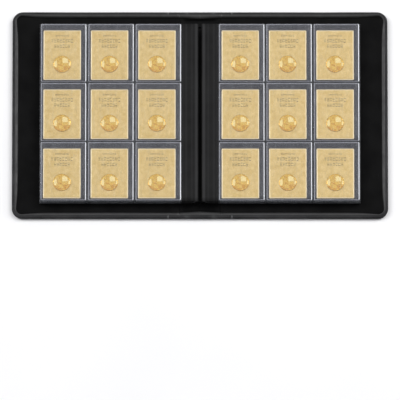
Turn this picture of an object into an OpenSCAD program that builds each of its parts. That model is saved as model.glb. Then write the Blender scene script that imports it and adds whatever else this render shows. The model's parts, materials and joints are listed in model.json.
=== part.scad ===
// Pocket album for coin cards, lying open and face up.
// The spine runs along Y through the origin, the back cover is on the +X side and the front cover on the -X side.
// Z = 0 is the surface that the album lies on. All sizes are in millimetres.

/* [Coin card] */
// Width of one coin card
card_w = 63.5; // [50:0.5:80]
// Height of one coin card
card_h = 88.9; // [70:0.1:110]
// Thickness of one coin card
card_t = 0.6; // [0.3:0.1:1]
// Diameter of the coin on the card
coin_d = 30.5; // [20:0.5:40]
// Height that the coin stands above the card
coin_t = 0.6; // [0.3:0.1:1]
// Distance of the coin's centre from the card's lower edge
coin_up = 28.5; // [24:0.5:34]

/* [Rigid holder] */
// Margin between the card and the holder's left edge
holder_left = 4.4; // [2:0.1:8]
// Margin between the card and the holder's right edge
holder_right = 9.1; // [2:0.1:12]
// Margin between the card and the holder's lower edge
holder_low = 3.2; // [2:0.1:8]
// Margin between the card and the holder's open upper edge
holder_top = 11; // [4:0.5:14]
// Wall thickness of the holder's front and back
holder_wall = 0.4; // [0.3:0.1:0.8]
// Corner radius of the holder
holder_r = 2; // [0.5:0.5:4]
// Clearance around the card inside the holder
card_fit = 0.3; // [0.1:0.1:0.8]
// Room above the coin inside the holder
coin_room = 0.2; // [0.1:0.1:0.5]

/* [Pocket leaf] */
// Clearance beside the holder inside its pocket
pocket_fit = 0.3; // [0.2:0.1:0.8]
// Clearance above and below the holder inside its pocket
pocket_slack = 0.1; // [0.1:0.1:0.4]
// Thickness of the clear film
film_t = 0.2; // [0.15:0.05:0.4]
// Thickness of the black carrier sheet
sheet_t = 0.4; // [0.3:0.1:0.8]
// Width of the weld between two pockets side by side
weld_w = 2.2; // [2:0.1:8]
// Height of the weld between two pockets one above the other
weld_h = 1.5; // [1:0.1:6]
// Width of the bare strip outside the last pocket
edge_strip = 0.4; // [0.4:0.1:3]
// Distance from the middle of the spine to the first pocket
gutter = 30.5; // [22:0.5:40]
// Gap between two leaves lying on each other
leaf_gap = 0.4; // [0.3:0.1:1]

/* [Cover] */
// Thickness of the outer leatherette
skin_t = 1.2; // [0.8:0.1:2]
// Thickness of the foam under the leatherette
foam_t = 1; // [0.6:0.1:3]
// Thickness of the board
board_t = 2; // [1:0.1:4]
// Thickness of the lining
lining_t = 0.6; // [0.3:0.1:1]
// Radius of the covers' outer corners
corner_r = 18; // [14:1:30]
// Width of the raised rim
rim_w = 10; // [8:0.5:12]
// Height of the raised rim above the table
rim_h = 8; // [6:0.5:10]
// Radius of the rim's two upper edges
rim_round = 3.2; // [1:0.1:3.3]
// Wall of the rim's wrapping
rim_wall = 0.9; // [0.6:0.1:1.2]
// Distance from the last pocket to the fore edge
fore_margin = 46.4; // [34:0.1:60]
// Distance from the pockets to the head and tail edges
head_margin = 25.9; // [15:0.5:40]
// Width of the spine leather that laps onto each cover
flap_w = 28; // [12:0.5:40]
// Width of the groove between the spine leather and the cover
groove_w = 1.6; // [0.8:0.1:3]

/* [Spine] */
// Height of the gussets' beads above the spine's fold lines
bead_rise = 11.3; // [10:0.1:13]
// Gap kept at every fold line
fold_gap = 0.1; // [0.05:0.05:0.3]
// Thickness of the binding strip
binding_t = 1; // [0.6:0.1:2]
// Thickness of the two webs that stand on the binding strip
web_t = 1; // [0.6:0.1:2]
// Radius of the folded bead that the leaves hang from
bead_r = 3.6; // [3:0.1:4]
// Gap between the bead and its web
bead_gap = 0.4; // [0.3:0.1:0.8]
// Margin from the head and tail to the ends of the binding
binding_margin = 27; // [10:1:40]

/* [Hidden] */
$fn = 64;
tiny = 0.01;
columns = 3;
rows = 3;
leaves = 3;
// Each of the spine's two folds turns this far, and together they close the album
fold_turn = 90;
half_turn = fold_turn / 2;

// Holder
holder_w = holder_left + card_w + holder_right;
holder_h = holder_low + card_h + holder_top;
slot_t = card_t + coin_t + coin_room;
holder_t = slot_t + 2 * holder_wall;

// Pockets and leaves
tray_w = holder_w + 2 * (pocket_fit + film_t);
tray_h = holder_h + 2 * pocket_fit + film_t;
cell_w = tray_w + weld_w;
cell_h = tray_h + weld_h;
pocket_depth = holder_t + 2 * pocket_slack;
leaf_h = rows * cell_h;
leaf_out = gutter + columns * cell_w + edge_strip;
leaf_half = sheet_t / 2 + pocket_depth + film_t;
leaf_pitch = 2 * leaf_half + leaf_gap;

// Cover layers, from the table upwards
foam_z = skin_t;
board_z = foam_z + foam_t;
lining_z = board_z + board_t;
cover_t = lining_z + lining_t;
cover_x = leaf_out + fore_margin;
cover_y = leaf_h / 2 + head_margin;

// Leaf 1 is the upper one of the three. Its height follows from the leaves under it
leaf_z = [for (i = [0 : leaves - 1]) cover_t + leaf_gap + leaf_half + (leaves - 1 - i) * leaf_pitch];
turn_z = leaf_z[0] + leaf_pitch / 2;

// Spine: fold lines at half the skin's height, and so far apart that the closed album is as thick as its leaves need
fold_z = skin_t / 2;
fold_x = turn_z - fold_z;
// The bead's place brings the leaves back to the same height above the cover when the album has closed
bead_z = fold_z + bead_rise;
bead_x = turn_z - bead_z;
spine_lining_t = lining_t;
binding_z = skin_t + spine_lining_t;
binding_top = binding_z + binding_t;

// What lies above a fold line keeps clear of its neighbour when the fold has turned
function relief(z) = (z - fold_z) * tan(half_turn) + fold_gap;

cover_in = fold_x + relief(cover_t);
rim_in = fold_x + relief(rim_h);
flap_in = fold_x + relief(skin_t);
flap_out = flap_in + flap_w;

// Gusset, in places counted from its bead: its head stays on its own side of the album while the spine folds up
gusset_reach = bead_x - leaf_gap;
head_top = leaf_z[0] - sheet_t / 2 - bead_gap;
head_rise = head_top - bead_z;
head_reach = sqrt(pow(gusset_reach, 2) - pow(head_rise, 2)) - leaf_gap;
head_out = 1.1;
head_low = 2.6;
head_chamfer = 1.2;
web_inset = 1;
web_x = bead_x - web_inset - web_t;
web_reach = bead_x - web_x - web_t / 2;
web_top = bead_z - sqrt(pow(bead_r, 2) - pow(web_reach, 2)) - bead_gap;

// Inner edge of each black sheet: over the gusset's head, beside the bead, and beside its lower half
sheet_in = [
    bead_x - sqrt(pow(gusset_reach, 2) - pow(leaf_z[0] + sheet_t / 2 - bead_z, 2)) + leaf_gap,
    bead_x + bead_r,
    bead_x + bead_r * 0.55
];
binding_y = cover_y - binding_margin;

SIDES = ["right", "left"];

// A plate from x0 to x1 with its two corners at x1 rounded
module cover_plate(x0, x1, half_y, r, t) {
    linear_extrude(t) {
        translate([x0, -half_y]) square([x1 - r - x0, 2 * half_y]);
        translate([x1 - r - tiny, r - half_y]) square([r + tiny, 2 * (half_y - r)]);
        for (side = [-1, 1]) translate([x1 - r, side * (half_y - r)]) circle(r);
    }
}

// A plate with four round corners, its lower left corner at the origin
module round_plate(w, h, r, t) {
    linear_extrude(t) {
        translate([r, 0]) square([w - 2 * r, h]);
        translate([0, r]) square([w, h - 2 * r]);
        for (x = [r, w - r], y = [r, h - r]) translate([x, y]) circle(r);
    }
}

// The front half of the album is the back half seen in a mirror
module on_side(side) {
    if (side == "left") mirror([1, 0, 0]) children();
    else children();
}

// Section of the rim, its foot on the skin and its outer side on the Y axis
module rim_section(inset, r) {
    w = rim_w - 2 * inset;
    h = rim_h - skin_t - 2 * inset;
    translate([inset, skin_t + inset]) {
        square([w, h - r]);
        translate([r, 0]) square([w - 2 * r, h]);
        for (x = [r, w - r]) translate([x, h - r]) circle(r);
    }
}

// Carries a section along the head, the fore edge and the tail of the back cover
module around_edge(x0) {
    straight = cover_x - corner_r - x0;
    for (end = [0, 1]) mirror([0, end, 0]) {
        translate([x0, -cover_y, 0]) rotate([90, 0, 90]) linear_extrude(straight) children();
        translate([cover_x - corner_r, corner_r - cover_y, 0]) rotate([0, 0, -90]) rotate_extrude(angle = 90)
            translate([corner_r, 0]) mirror([1, 0]) children();
    }
    translate([cover_x, cover_y - corner_r, 0]) mirror([1, 0, 0]) rotate([90, 0, 0])
        linear_extrude(2 * (cover_y - corner_r)) children();
}

// Cover pieces, drawn for the back cover
module cover_skin() {
    cover_plate(flap_out + groove_w, cover_x, cover_y, corner_r, skin_t);
}

module cover_flap() {
    translate([flap_in, -cover_y, 0]) cube([flap_w, 2 * cover_y, skin_t]);
}

module cover_foam() {
    translate([0, 0, foam_z]) cover_plate(cover_in, cover_x - rim_w, cover_y - rim_w, corner_r - rim_w, foam_t);
}

module cover_board() {
    translate([0, 0, board_z]) cover_plate(cover_in, cover_x - rim_w, cover_y - rim_w, corner_r - rim_w, board_t);
}

module cover_lining() {
    translate([0, 0, lining_z]) cover_plate(cover_in, cover_x - rim_w, cover_y - rim_w, corner_r - rim_w, lining_t);
}

module cover_rim() {
    around_edge(rim_in) difference() {
        rim_section(0, rim_round);
        rim_section(rim_wall, rim_round - rim_wall);
    }
}

module rim_core() {
    around_edge(rim_in) rim_section(rim_wall + tiny, rim_round - rim_wall);
}

// One strip along the spine, between two positions in X
module spine_strip(x0, x1, half_y, z, t) {
    translate([x0, -half_y, z]) cube([x1 - x0, 2 * half_y, t]);
}

module spine_skin() {
    edge = fold_x - relief(skin_t);
    spine_strip(-edge, edge, cover_y, 0, skin_t);
}

module spine_lining() {
    edge = fold_x - relief(binding_z);
    spine_strip(-edge, edge, cover_y - rim_w, skin_t, spine_lining_t);
}

// Binding strip inside the spine, with a web under each bead
module binding_strip() {
    edge = web_x + web_t;
    spine_strip(-edge, edge, binding_y, binding_z, binding_t);
    for (side = SIDES) on_side(side)
        spine_strip(web_x, web_x + web_t, binding_y, binding_top - tiny, web_top - binding_top + tiny);
}

// Folded gusset: a bead over the web, and a head that carries the top leaf
module gusset() {
    rotate([90, 0, 0]) linear_extrude(2 * binding_y, center = true) translate([bead_x, bead_z]) {
        circle(bead_r);
        polygon([
            [-head_reach, head_low], [-head_out, head_low], [-head_out, head_rise],
            [head_chamfer - head_reach, head_rise], [-head_reach, head_rise - head_chamfer]
        ]);
    }
}

// Black carrier sheet of one leaf, its middle at the leaf's height
module sheet(i) {
    translate([sheet_in[i], -leaf_h / 2, leaf_z[i] - sheet_t / 2])
        cube([leaf_out - sheet_in[i], leaf_h, sheet_t]);
}

// Lower left corner of a pocket's cell. Column 0 is on the left on both sides, row 0 is the lowest
function cell_x(side, column) = (side == "right" ? gutter : -gutter - columns * cell_w) + column * cell_w;
function cell_y(row) = row * cell_h - leaf_h / 2;

// Clear film over the nine pockets of one face: a welded sheet with a raised tray for each pocket, open at the top
module film(side) {
    pocket_x = weld_w / 2;
    pocket_y = weld_h / 2;
    edge_x = side == "right" ? gutter : -leaf_out;
    difference() {
        union() {
            translate([edge_x, -leaf_h / 2, 0])
                cube([leaf_out - gutter, leaf_h - pocket_y, film_t]);
            for (column = [0 : columns - 1], row = [0 : rows - 1])
                translate([cell_x(side, column) + pocket_x, cell_y(row) + pocket_y, 0])
                    cube([tray_w, tray_h, pocket_depth + film_t]);
        }
        for (column = [0 : columns - 1], row = [0 : rows - 1])
            translate([cell_x(side, column) + pocket_x + film_t, cell_y(row) + pocket_y + film_t, -tiny])
                cube([tray_w - 2 * film_t, tray_h, pocket_depth + tiny]);
    }
}

// The two films of one leaf, one on each face of its black sheet
module films(side, i) {
    translate([0, 0, leaf_z[i]]) for (face = [0, 1]) mirror([0, 0, face])
        translate([0, 0, sheet_t / 2]) film(side);
}

// Puts a piece into a pocket of the upper leaf, at the holder's lower left corner
module in_pocket(side, column, row) {
    x = cell_x(side, column) + weld_w / 2 + film_t + pocket_fit;
    y = cell_y(row) + weld_h / 2 + film_t + pocket_fit;
    translate([x, y, leaf_z[0] + sheet_t / 2 + pocket_slack]) children();
}

// Rigid clear holder with a slot that is open at the top
module holder() {
    slot_w = card_w + 2 * card_fit;
    difference() {
        round_plate(holder_w, holder_h, holder_r, holder_t);
        translate([holder_left - card_fit, holder_low - card_fit, holder_wall])
            cube([slot_w, holder_h, slot_t]);
    }
}

// Thin metal card that carries the coin
module card() {
    translate([holder_left, holder_low, holder_wall]) round_plate(card_w, card_h, holder_r, card_t);
}

// Coin: a flat disc with a bevelled middle
module coin() {
    disc_t = coin_t / 2;
    translate([holder_left + card_w / 2, holder_low + coin_up, holder_wall + card_t]) {
        cylinder(h = disc_t, d = coin_d);
        translate([0, 0, disc_t]) cylinder(h = coin_t - disc_t, d1 = coin_d * 0.9, d2 = coin_d * 0.5);
    }
}

// All pockets of the upper leaf below its top row
module in_lower_pockets(side) {
    for (column = [0 : columns - 1], row = [0 : rows - 2]) in_pocket(side, column, row) children();
}

charcoal = [0.21, 0.21, 0.22];
black = [0.07, 0.07, 0.08];
rim_grey = [0.28, 0.28, 0.29];
foam_grey = [0.45, 0.45, 0.47];
board_brown = [0.55, 0.45, 0.33];
clear = [0.85, 0.9, 0.93, 0.4];
pale_gold = [0.88, 0.78, 0.52];
coin_gold = [0.86, 0.66, 0.3];

// Outer pieces of the two covers
for (side = SIDES) {
    name = side == "right" ? "back" : "front";
    color(charcoal) on_side(side) cover_skin();
    color(foam_grey) on_side(side) cover_foam();
    color(board_brown) on_side(side) cover_board();
    color(black) on_side(side) cover_lining();
    color(rim_grey) on_side(side) cover_rim();
    color(foam_grey) on_side(side) rim_core();
    color(charcoal) on_side(side) cover_flap();
}

// Spine
color(charcoal) spine_skin();
color(black) spine_lining();
color(black) binding_strip();  // page_binding_strip
for (side = SIDES) {
    color(black) on_side(side) gusset();
}

// Leaves, numbered from the upper one down
for (side = SIDES, i = [0 : leaves - 1]) {
    color(black) on_side(side) sheet(i);
    color(clear) films(side, i);
}

// Holders of the top row, lettered from left to right, each with its card and coin
for (side = SIDES, column = [0 : columns - 1]) {
    tag = str("_", "abc"[column]);
    color(clear) in_pocket(side, column, rows - 1) holder();
    color(pale_gold) in_pocket(side, column, rows - 1) card();
    color(coin_gold) in_pocket(side, column, rows - 1) coin();
}

// Holders of the two lower rows
for (side = SIDES) {
    color(clear) in_lower_pockets(side) holder();
    color(pale_gold) in_lower_pockets(side) card();
    color(coin_gold) in_lower_pockets(side) coin();
}
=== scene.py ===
# %% [markdown]
# A zipless album for coin cards lies open and face up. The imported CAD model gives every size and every
# place, so it is loaded first and never moved. Each visible piece is then worked out as a surface with numpy,
# gets a material made of nodes, and rides on the CAD body that it belongs to.

import json
import math

import bmesh
import bpy
import numpy as np
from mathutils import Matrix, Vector
from mathutils.geometry import delaunay_2d_cdt


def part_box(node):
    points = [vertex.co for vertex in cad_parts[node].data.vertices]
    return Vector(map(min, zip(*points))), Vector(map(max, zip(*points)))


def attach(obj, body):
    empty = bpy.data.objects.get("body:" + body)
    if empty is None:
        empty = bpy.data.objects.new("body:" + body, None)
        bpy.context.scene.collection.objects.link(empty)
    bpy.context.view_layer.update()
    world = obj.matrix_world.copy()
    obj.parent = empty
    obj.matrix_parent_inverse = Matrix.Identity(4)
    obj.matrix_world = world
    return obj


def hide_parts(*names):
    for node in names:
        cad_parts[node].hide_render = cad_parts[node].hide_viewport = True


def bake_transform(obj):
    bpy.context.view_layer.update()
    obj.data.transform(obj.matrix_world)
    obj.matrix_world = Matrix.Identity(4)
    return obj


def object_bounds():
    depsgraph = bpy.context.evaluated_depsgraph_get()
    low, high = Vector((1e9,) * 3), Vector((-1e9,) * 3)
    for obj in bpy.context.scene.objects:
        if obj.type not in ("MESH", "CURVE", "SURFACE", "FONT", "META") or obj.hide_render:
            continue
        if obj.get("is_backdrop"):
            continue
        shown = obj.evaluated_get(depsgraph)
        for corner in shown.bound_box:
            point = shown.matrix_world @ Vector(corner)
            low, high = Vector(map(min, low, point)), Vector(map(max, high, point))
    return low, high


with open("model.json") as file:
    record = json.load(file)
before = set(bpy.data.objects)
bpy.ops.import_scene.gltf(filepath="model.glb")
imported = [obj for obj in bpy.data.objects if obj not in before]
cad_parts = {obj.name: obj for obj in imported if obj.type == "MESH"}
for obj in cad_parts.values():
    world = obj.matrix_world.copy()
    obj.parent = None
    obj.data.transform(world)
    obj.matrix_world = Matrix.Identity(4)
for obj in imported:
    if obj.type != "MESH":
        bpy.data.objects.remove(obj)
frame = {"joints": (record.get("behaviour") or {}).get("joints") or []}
cad_box = [list(map(float, corner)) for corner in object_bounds()]
MM = 0.001
print("the album measures", [round(high - low, 4) for low, high in zip(*cad_box)], "m")

# %% [markdown]
# The sizes that the pieces share are read from the CAD nodes. Only the back half is measured, because the
# front half is its mirror image. Three lengths are chosen here: the radius of the covers' corners, half the
# length of the part that bends at a fold, and the thickness of the skins and the film.

# %% Shared sizes
skin_low, skin_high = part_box("back_cover_skin")
FLAP_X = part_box("back_spine_flap")[1].x
RIM_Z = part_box("back_cover_rim")[1].z
LINING_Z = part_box("back_cover_lining")[1].z
SPINE_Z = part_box("spine_lining")[1].z
JOINTS = {joint["name"]: joint for joint in frame["joints"]}
FOLD_X = JOINTS["close_album"]["pos_m"][0]
COVER_X, COVER_Y = skin_high.x, skin_high.y
CORNER, BEND = 18 * MM, 11 * MM
LEATHER_T, LINING_T, FILM_T = 1.0 * MM, 0.5 * MM, 0.2 * MM
COVERS = (("back", 1), ("front", -1))
PAGE_SIDES = (("right", 1), ("left", -1))
print(f"cover edge at {COVER_X:.4f} m, fold at {FOLD_X:.4f} m, rim top at {RIM_Z:.4f} m")

# %% [markdown]
# The camera looks down on the album from a little in front of it, 72 degrees above the table. It stands far
# away with a long lens, so that parallel edges stay parallel, and it aims at a point in front of the album,
# because the album fills the upper half of the picture.

# %% Camera
ELEVATION = math.radians(72)
DISTANCE = 24.0
PICTURE_WIDTH = 0.676
SENSOR_MM = 36


def aimed(obj, place, target):
    """Puts an object at a place and turns its -Z axis towards a target."""
    obj.location = place
    obj.rotation_euler = (Vector(target) - Vector(place)).to_track_quat("-Z", "Y").to_euler()
    bpy.context.scene.collection.objects.link(obj)
    return obj


aim_at = (0, -0.1495, 0)
lens = bpy.data.cameras.new("camera")
lens.sensor_width = SENSOR_MM
lens.lens = SENSOR_MM * DISTANCE / PICTURE_WIDTH
lens.clip_end = 100
camera = aimed(bpy.data.objects.new("camera", lens),
               (0, aim_at[1] - DISTANCE * math.cos(ELEVATION), DISTANCE * math.sin(ELEVATION)), aim_at)
bpy.context.scene.camera = camera
print(f"lens {lens.lens:.0f} mm at {DISTANCE} m")

# %% [markdown]
# Three light boxes light the album like a small studio. Two large ones stand high at its left and right, a few
# metres away, so that flat gold is evenly lit. A low one at the right draws the bright lines along the edges of
# the clear holders. Standard colours keep the white floor white.

# %% Light
bpy.context.scene.view_settings.view_transform = "Standard"


def light_box(name, place, target, size, power):
    """A rectangular light of a size in metres, aimed at a target."""
    lamp = bpy.data.lights.new(name, "AREA")
    lamp.shape, lamp.size, lamp.size_y, lamp.energy = "RECTANGLE", size[0], size[1], power
    return aimed(bpy.data.objects.new(name, lamp), place, target)


boxes = [light_box("light_left", (-4.2, 1.6, 4.4), (0, 0, 0), (2.2, 3.0), 150),
         light_box("light_right", (3.6, 2.4, 4.4), (0, 0, 0), (2.4, 3.4), 165),
         light_box("light_low_right", (4.5, 0.0, 0.9), (0.1, 0, 0), (1.0, 3.0), 30)]
print("light boxes:", [(lamp.name, lamp.data.energy) for lamp in boxes])

# %% [markdown]
# Most pieces are one of two kinds of surface. A grid has two parameters, and a slab is the outline of a
# rounded rectangle that is drawn again and again, each time further in and at another height. Both are
# computed as whole arrays and then put into a mesh.

# %% Mesh helpers


def grid_faces(rows, columns, wrap_columns=False):
    """Four-cornered faces of a grid, where point (i, j) has the number i * columns + j."""
    i, j = np.meshgrid(np.arange(rows - 1), np.arange(columns if wrap_columns else columns - 1), indexing="ij")
    k = (j + 1) % columns
    here, beyond = i * columns, (i + 1) * columns
    return np.stack([here + j, beyond + j, beyond + k, here + k], -1).reshape(-1, 4)


def mesh_piece(name, parts, weld=0.0, smooth=True, outward=None, closed=False):
    """A mesh object made of parts, each an array of points and an array of faces with three or four corners.
    weld merges points that lie that close. outward turns an open sheet so that it faces along that direction,
    and closed makes the faces of a closed shell point out of it."""
    points = np.concatenate([np.asarray(p, float).reshape(-1, 3) for p, _ in parts])
    starts = np.cumsum([0] + [np.asarray(p).reshape(-1, 3).shape[0] for p, _ in parts])[:-1]
    corners = np.concatenate([(f + s).ravel() for (_, f), s in zip(parts, starts)])
    sizes = np.concatenate([np.full(len(f), f.shape[1]) for _, f in parts])
    mesh = bpy.data.meshes.new(name)
    mesh.vertices.add(len(points))
    mesh.vertices.foreach_set("co", points.ravel())
    mesh.loops.add(len(corners))
    mesh.loops.foreach_set("vertex_index", corners)
    mesh.polygons.add(len(sizes))
    mesh.polygons.foreach_set("loop_start", np.cumsum(sizes) - sizes)
    mesh.update(calc_edges=True)
    mesh.validate()
    work = bmesh.new()
    work.from_mesh(mesh)
    if weld:
        bmesh.ops.remove_doubles(work, verts=work.verts, dist=weld)
        bmesh.ops.dissolve_degenerate(work, edges=work.edges, dist=weld)
    if closed:
        bmesh.ops.recalc_face_normals(work, faces=work.faces)
    if outward is not None:
        total = sum((f.normal * f.calc_area() for f in work.faces), work.faces[:1][0].normal * 0)
        if total.dot(outward) < 0:
            bmesh.ops.reverse_faces(work, faces=work.faces)
    work.to_mesh(mesh)
    work.free()
    mesh.polygons.foreach_set("use_smooth", np.full(len(mesh.polygons), smooth))
    obj = bpy.data.objects.new(name, mesh)
    bpy.context.scene.collection.objects.link(obj)
    return obj


def thicken(obj, thickness):
    """Gives a sheet its thickness, inward from the side that it faces."""
    wall = obj.modifiers.new("thickness", "SOLIDIFY")
    wall.thickness, wall.offset = thickness, -1


def set_attribute(obj, name, value):
    """Stores a number at every point of the mesh, worked out from the points' positions."""
    co = np.empty(len(obj.data.vertices) * 3)
    obj.data.vertices.foreach_get("co", co)
    numbers = value(co.reshape(-1, 3)).astype(np.float32)
    obj.data.attributes.new(name, "FLOAT", "POINT").data.foreach_set("value", numbers)


print("mesh helpers are ready")

# %% [markdown]
# The materials are made of nodes that read Object coordinates, so the grain has its real size on every piece.
# These helpers keep the node trees short: each adds one kind of node and gives back its output.

# %% Node helpers


def new_material(name, **sockets):
    """A material with a Principled BSDF whose constant sockets are set by name."""
    material = bpy.data.materials.new(name)
    material.use_nodes = True
    shader = material.node_tree.nodes["Principled BSDF"]
    for key, value in sockets.items():
        shader.inputs[key.replace("_", " ")].default_value = value
    return material, material.node_tree, shader


def node(tree, kind, settings=None, **inputs):
    """Adds a node. An input may be a number, a colour or another node's output. Its name is that of the socket,
    or i and the socket's number where several sockets share a name."""
    n = tree.nodes.new(kind)
    for key, value in (settings or {}).items():
        setattr(n, key, value)
    for key, value in inputs.items():
        numbered = key[0] == "i" and key[1:].isdigit()
        socket = n.inputs[int(key[1:]) if numbered else key.replace("_", " ")]
        if isinstance(value, bpy.types.NodeSocket):
            tree.links.new(value, socket)
        else:
            socket.default_value = value
    return n


def place_on_object(tree, stretch=(1, 1, 1)):
    """Object coordinates, stretched along each axis."""
    coords = node(tree, "ShaderNodeTexCoord").outputs["Object"]
    return node(tree, "ShaderNodeMapping", Vector=coords, Scale=stretch).outputs[0]


def noise(tree, vector, scale, detail=3.0, roughness=0.55):
    """Soft random spots. Scale is in spots for each metre."""
    return node(tree, "ShaderNodeTexNoise", Vector=vector, Scale=scale, Detail=detail, Roughness=roughness).outputs[0]


def ramp(tree, value, low, high, dark, light):
    """A colour that goes from dark to light while value goes from low to high."""
    n = node(tree, "ShaderNodeValToRGB", Fac=value)
    n.color_ramp.elements[0].position, n.color_ramp.elements[1].position = low, high
    n.color_ramp.elements[0].color, n.color_ramp.elements[1].color = (*dark, 1), (*light, 1)
    return n.outputs[0]


def span(tree, value, low, high, start=0.0, end=1.0):
    """A number that goes smoothly from start to end while value goes from low to high."""
    return node(tree, "ShaderNodeMapRange", {"interpolation_type": "SMOOTHSTEP"},
                i0=value, i1=low, i2=high, i3=start, i4=end).outputs[0]


def calc(tree, operation, a, b=0.0):
    """One arithmetic step on numbers."""
    return node(tree, "ShaderNodeMath", {"operation": operation}, i0=a, i1=b).outputs[0]


def mixed(tree, share, a, b):
    """Colour a where share is 0 and colour b where it is 1."""
    n = node(tree, "ShaderNodeMix", {"data_type": "RGBA"})
    for socket, value in ((n.inputs[0], share), (n.inputs[6], a), (n.inputs[7], b)):
        if isinstance(value, bpy.types.NodeSocket):
            tree.links.new(value, socket)
        else:
            socket.default_value = (*value, 1) if isinstance(value, tuple) else value
    return n.outputs[2]


def cells(tree, scale):
    """Round grains that lie close together, as the distance from the middle of the nearest one."""
    return node(tree, "ShaderNodeTexVoronoi", {"feature": "SMOOTH_F1"}, Vector=place_on_object(tree),
                Scale=scale).outputs["Distance"]


def bumped(tree, height, distance, strength=1.0, normal=None):
    """A surface that looks raised where height is large, by a distance in metres."""
    n = node(tree, "ShaderNodeBump", Height=height, Distance=distance, Strength=strength)
    if normal is not None:
        tree.links.new(normal, n.inputs["Normal"])
    return n.outputs[0]


def attribute(tree, name):
    """A number stored at the points of the piece's own mesh."""
    return node(tree, "ShaderNodeAttribute", {"attribute_name": name}).outputs["Fac"]


print("node helpers are ready")

# %% [markdown]
# The room round the light boxes is pale overhead and at the two sides, and darker in front of the album and
# behind it. Flat gold mirrors the part overhead, so the cards are evenly bright, while the slopes that face the
# dark parts give the facets and the rim their shading. A world made of nodes does this without any walls.

# %% Room
world = bpy.data.worlds.new("studio")
world.use_nodes = True
tree = world.node_tree
direction = node(tree, "ShaderNodeSeparateXYZ", Vector=node(tree, "ShaderNodeTexCoord").outputs["Generated"])
mirrored_up = calc(tree, "ADD", calc(tree, "MULTIPLY", direction.outputs["Y"], math.cos(ELEVATION)),
                   calc(tree, "MULTIPLY", direction.outputs["Z"], math.sin(ELEVATION)))
overhead = span(tree, mirrored_up, 0.74, 0.93, 0.0, 0.74)
beside = span(tree, calc(tree, "ABSOLUTE", direction.outputs["X"]), 0.45, 0.95, 0.0, 0.66)
background = tree.nodes["Background"]
tree.links.new(calc(tree, "ADD", calc(tree, "MAXIMUM", overhead, beside), 0.24), background.inputs["Strength"])
background.inputs["Color"].default_value = (0.97, 0.97, 1.0, 1)
bpy.context.scene.world = world
print("room:", len(tree.nodes), "nodes")

# %% [markdown]
# The outside is suede-like leatherette: a short nap that has been brushed this way and that, which makes soft
# paler clouds. A paler colour is painted as highlight along the flap's edge and the rim's crest, and the fold is
# rubbed a little paler. Large noise gives the clouds, stretched fine noise the nap, and sheen its soft glow.

# %% Suede leatherette
suede, tree, shader = new_material("suede_leatherette", Sheen_Weight=0.05, Sheen_Roughness=0.5,
                                   Specular_IOR_Level=0.10)
shader.inputs["Sheen Tint"].default_value = (0.75, 0.75, 0.8, 1)
clouds = noise(tree, place_on_object(tree, (1, 1.4, 1)), 24, 4)
nap = noise(tree, place_on_object(tree, (1, 2.6, 1)), 1500, 3)
speckle = noise(tree, place_on_object(tree), 420, 2)
colour = ramp(tree, clouds, 0.34, 0.68, (0.014, 0.014, 0.0145), (0.030, 0.030, 0.031))
colour = mixed(tree, span(tree, speckle, 0.45, 0.75, 0.0, 0.55), colour, (0.046, 0.046, 0.047))
# Painted highlight: the stored attribute mixes in a paler grey along the flap's edge and the rim's crest. Along the
# spine's fold it is leather rubbed paler.
colour = mixed(tree, calc(tree, "MULTIPLY", attribute(tree, "wear_and_highlight"), 0.7), colour, (0.16, 0.16, 0.165))
tree.links.new(colour, shader.inputs["Base Color"])
tree.links.new(span(tree, clouds, 0.3, 0.7, 0.92, 0.74), shader.inputs["Roughness"])
soft = bumped(tree, clouds, 0.0006, 0.5)
tree.links.new(bumped(tree, nap, 0.00018, 0.9, soft), shader.inputs["Normal"])
print("suede:", len(tree.nodes), "nodes")

# %% [markdown]
# The inner roll of the rim is smooth leatherette over foam. It is satin, so it draws one pale stripe round the
# album, and it has a fine pebbled grain with a few pull creases across it.

# %% Smooth roll leatherette
roll_skin, tree, shader = new_material("smooth_leatherette", Specular_IOR_Level=0.55)
grain = cells(tree, 1100.0)
shade = noise(tree, place_on_object(tree), 70, 3)
colour = ramp(tree, shade, 0.3, 0.7, (0.012, 0.012, 0.0123), (0.024, 0.024, 0.0243))
tree.links.new(colour, shader.inputs["Base Color"])
tree.links.new(span(tree, shade, 0.3, 0.7, 0.55, 0.42), shader.inputs["Roughness"])
creases = bumped(tree, noise(tree, place_on_object(tree), 180, 2), 0.0005, 0.5)
tree.links.new(bumped(tree, grain, 0.00010, 0.6, creases), shader.inputs["Normal"])
print("roll:", len(tree.nodes), "nodes")

# %% [markdown]
# The lining and the leaves are black. The lining is thin satin leatherette with a shallow grain, and the leaves
# are plastic sheet with a finer one. Both are almost without colour, so their variation is in gloss and grain.
# The ribs in the margin of a sheet are painted paler as highlight where they catch the light. The mesh stores how
# much at each of its points, as "rib".

# %% Black lining and carrier sheet


def black_skin(name, dark, light, rough, grain_scale, depth):
    """Black satin skin: two close shades, a pebbled grain and uneven gloss."""
    material, tree, shader = new_material(name, Specular_IOR_Level=0.05)
    grain = cells(tree, grain_scale)
    shade = noise(tree, place_on_object(tree), 30, 3)
    tree.links.new(ramp(tree, shade, 0.3, 0.7, dark, light), shader.inputs["Base Color"])
    tree.links.new(span(tree, shade, 0.3, 0.7, rough + 0.06, rough - 0.06), shader.inputs["Roughness"])
    tree.links.new(bumped(tree, grain, depth, 0.6), shader.inputs["Normal"])
    return material


lining_skin = black_skin("black_lining", (0.0030, 0.0030, 0.0031), (0.0052, 0.0052, 0.0053), 0.60, 900.0, 0.00010)
sheet_skin = black_skin("black_sheet", (0.0115, 0.0115, 0.0117), (0.0175, 0.0175, 0.0177), 0.46, 1500.0, 0.00006)
tree = sheet_skin.node_tree
base = tree.nodes["Principled BSDF"].inputs["Base Color"]
# Painted highlight: the margin's ribs are mixed to a paler grey by the stored number.
tree.links.new(mixed(tree, attribute(tree, "rib"), base.links[0].from_socket, (0.034, 0.034, 0.035)), base)
print("lining and carrier sheet are ready")

# %% [markdown]
# The binding tape is woven from black yarn, and its ribs run along the spine. Two waves crossed at right
# angles give the weave.

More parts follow.
